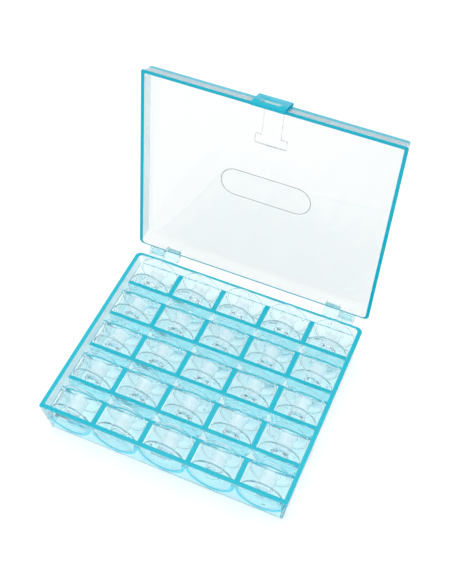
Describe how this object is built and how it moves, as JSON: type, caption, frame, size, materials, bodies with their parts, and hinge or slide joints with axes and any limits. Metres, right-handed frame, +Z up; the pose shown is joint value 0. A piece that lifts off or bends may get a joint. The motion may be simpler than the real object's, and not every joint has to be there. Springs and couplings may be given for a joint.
{
  "type": "sewing bobbin box",
  "caption": "Clear cyan plastic box with troughs for sewing bobbins standing on edge, a hinged lid with a snap latch, and clear bobbins that lift out.",
  "frame": {"origin": "centre of the tray's bottom edge, on the table the box stands on", "axes": "+X along the hinge line to the right, +Y towards the hinge, +Z up"},
  "size_m": [0.1252, 0.131, 0.1265],
  "materials": {
    "clear_cyan": "clear, glossy",
    "clear_lid": "clear, glossy",
    "latch_cyan": "tinted, glossy",
    "clear_bobbin": "clear, glossy"
  },
  "bodies": {
    "tray": {"tray": "clear_cyan"},
    "lid": {"lid": "clear_lid"},
    "latch": {"latch": "latch_cyan"},
    "bobbin_r1_c1": {"bobbin_r1_c1": "clear_bobbin"},
    "bobbin_r1_c2": {"bobbin_r1_c2": "clear_bobbin"},
    "bobbin_r1_c3": {"bobbin_r1_c3": "clear_bobbin"},
    "bobbin_r1_c4": {"bobbin_r1_c4": "clear_bobbin"},
    "bobbin_r1_c5": {"bobbin_r1_c5": "clear_bobbin"},
    "bobbin_r2_c1": {"bobbin_r2_c1": "clear_bobbin"},
    "bobbin_r2_c2": {"bobbin_r2_c2": "clear_bobbin"},
    "bobbin_r2_c3": {"bobbin_r2_c3": "clear_bobbin"},
    "bobbin_r2_c4": {"bobbin_r2_c4": "clear_bobbin"},
    "bobbin_r2_c5": {"bobbin_r2_c5": "clear_bobbin"},
    "bobbin_r3_c1": {"bobbin_r3_c1": "clear_bobbin"},
    "bobbin_r3_c2": {"bobbin_r3_c2": "clear_bobbin"},
    "bobbin_r3_c3": {"bobbin_r3_c3": "clear_bobbin"},
    "bobbin_r3_c4": {"bobbin_r3_c4": "clear_bobbin"},
    "bobbin_r3_c5": {"bobbin_r3_c5": "clear_bobbin"},
    "bobbin_r4_c1": {"bobbin_r4_c1": "clear_bobbin"},
    "bobbin_r4_c2": {"bobbin_r4_c2": "clear_bobbin"},
    "bobbin_r4_c3": {"bobbin_r4_c3": "clear_bobbin"},
    "bobbin_r4_c4": {"bobbin_r4_c4": "clear_bobbin"},
    "bobbin_r4_c5": {"bobbin_r4_c5": "clear_bobbin"},
    "bobbin_r5_c1": {"bobbin_r5_c1": "clear_bobbin"},
    "bobbin_r5_c2": {"bobbin_r5_c2": "clear_bobbin"},
    "bobbin_r5_c3": {"bobbin_r5_c3": "clear_bobbin"},
    "bobbin_r5_c4": {"bobbin_r5_c4": "clear_bobbin"},
    "bobbin_r5_c5": {"bobbin_r5_c5": "clear_bobbin"}
  },
  "joints": [
    {"name": "lid_hinge", "type": "hinge", "parent": "tray", "child": "lid", "pos_m": [0, 0.0544, 0.0203], "axis": [-1, 0, 0], "range_deg": [-99.5, 0]},
    {"name": "latch_flex", "type": "hinge", "parent": "lid", "child": "latch", "pos_m": [0, 0.07533, 0.10055], "axis": [-1, 0, 0], "range_deg": [0, 5], "stiffness_Nm_per_rad": 0.05},
    {"name": "lift_r1_c1", "type": "slide", "parent": "tray", "child": "bobbin_r1_c1", "axis": [0, 0, 1], "range_m": [0, 0.03]},
    {"name": "lift_r1_c2", "type": "slide", "parent": "tray", "child": "bobbin_r1_c2", "axis": [0, 0, 1], "range_m": [0, 0.03]},
    {"name": "lift_r1_c3", "type": "slide", "parent": "tray", "child": "bobbin_r1_c3", "axis": [0, 0, 1], "range_m": [0, 0.03]},
    {"name": "lift_r1_c4", "type": "slide", "parent": "tray", "child": "bobbin_r1_c4", "axis": [0, 0, 1], "range_m": [0, 0.03]},
    {"name": "lift_r1_c5", "type": "slide", "parent": "tray", "child": "bobbin_r1_c5", "axis": [0, 0, 1], "range_m": [0, 0.03]},
    {"name": "lift_r2_c1", "type": "slide", "parent": "tray", "child": "bobbin_r2_c1", "axis": [0, 0, 1], "range_m": [0, 0.03]},
    {"name": "lift_r2_c2", "type": "slide", "parent": "tray", "child": "bobbin_r2_c2", "axis": [0, 0, 1], "range_m": [0, 0.03]},
    {"name": "lift_r2_c3", "type": "slide", "parent": "tray", "child": "bobbin_r2_c3", "axis": [0, 0, 1], "range_m": [0, 0.03]},
    {"name": "lift_r2_c4", "type": "slide", "parent": "tray", "child": "bobbin_r2_c4", "axis": [0, 0, 1], "range_m": [0, 0.03]},
    {"name": "lift_r2_c5", "type": "slide", "parent": "tray", "child": "bobbin_r2_c5", "axis": [0, 0, 1], "range_m": [0, 0.03]},
    {"name": "lift_r3_c1", "type": "slide", "parent": "tray", "child": "bobbin_r3_c1", "axis": [0, 0, 1], "range_m": [0, 0.03]},
    {"name": "lift_r3_c2", "type": "slide", "parent": "tray", "child": "bobbin_r3_c2", "axis": [0, 0, 1], "range_m": [0, 0.03]},
    {"name": "lift_r3_c3", "type": "slide", "parent": "tray", "child": "bobbin_r3_c3", "axis": [0, 0, 1], "range_m": [0, 0.03]},
    {"name": "lift_r3_c4", "type": "slide", "parent": "tray", "child": "bobbin_r3_c4", "axis": [0, 0, 1], "range_m": [0, 0.03]},
    {"name": "lift_r3_c5", "type": "slide", "parent": "tray", "child": "bobbin_r3_c5", "axis": [0, 0, 1], "range_m": [0, 0.03]},
    {"name": "lift_r4_c1", "type": "slide", "parent": "tray", "child": "bobbin_r4_c1", "axis": [0, 0, 1], "range_m": [0, 0.03]},
    {"name": "lift_r4_c2", "type": "slide", "parent": "tray", "child": "bobbin_r4_c2", "axis": [0, 0, 1], "range_m": [0, 0.03]},
    {"name": "lift_r4_c3", "type": "slide", "parent": "tray", "child": "bobbin_r4_c3", "axis": [0, 0, 1], "range_m": [0, 0.03]},
    {"name": "lift_r4_c4", "type": "slide", "parent": "tray", "child": "bobbin_r4_c4", "axis": [0, 0, 1], "range_m": [0, 0.03]},
    {"name": "lift_r4_c5", "type": "slide", "parent": "tray", "child": "bobbin_r4_c5", "axis": [0, 0, 1], "range_m": [0, 0.03]},
    {"name": "lift_r5_c1", "type": "slide", "parent": "tray", "child": "bobbin_r5_c1", "axis": [0, 0, 1], "range_m": [0, 0.03]},
    {"name": "lift_r5_c2", "type": "slide", "parent": "tray", "child": "bobbin_r5_c2", "axis": [0, 0, 1], "range_m": [0, 0.03]},
    {"name": "lift_r5_c3", "type": "slide", "parent": "tray", "child": "bobbin_r5_c3", "axis": [0, 0, 1], "range_m": [0, 0.03]},
    {"name": "lift_r5_c4", "type": "slide", "parent": "tray", "child": "bobbin_r5_c4", "axis": [0, 0, 1], "range_m": [0, 0.03]},
    {"name": "lift_r5_c5", "type": "slide", "parent": "tray", "child": "bobbin_r5_c5", "axis": [0, 0, 1], "range_m": [0, 0.03]}
  ]
}
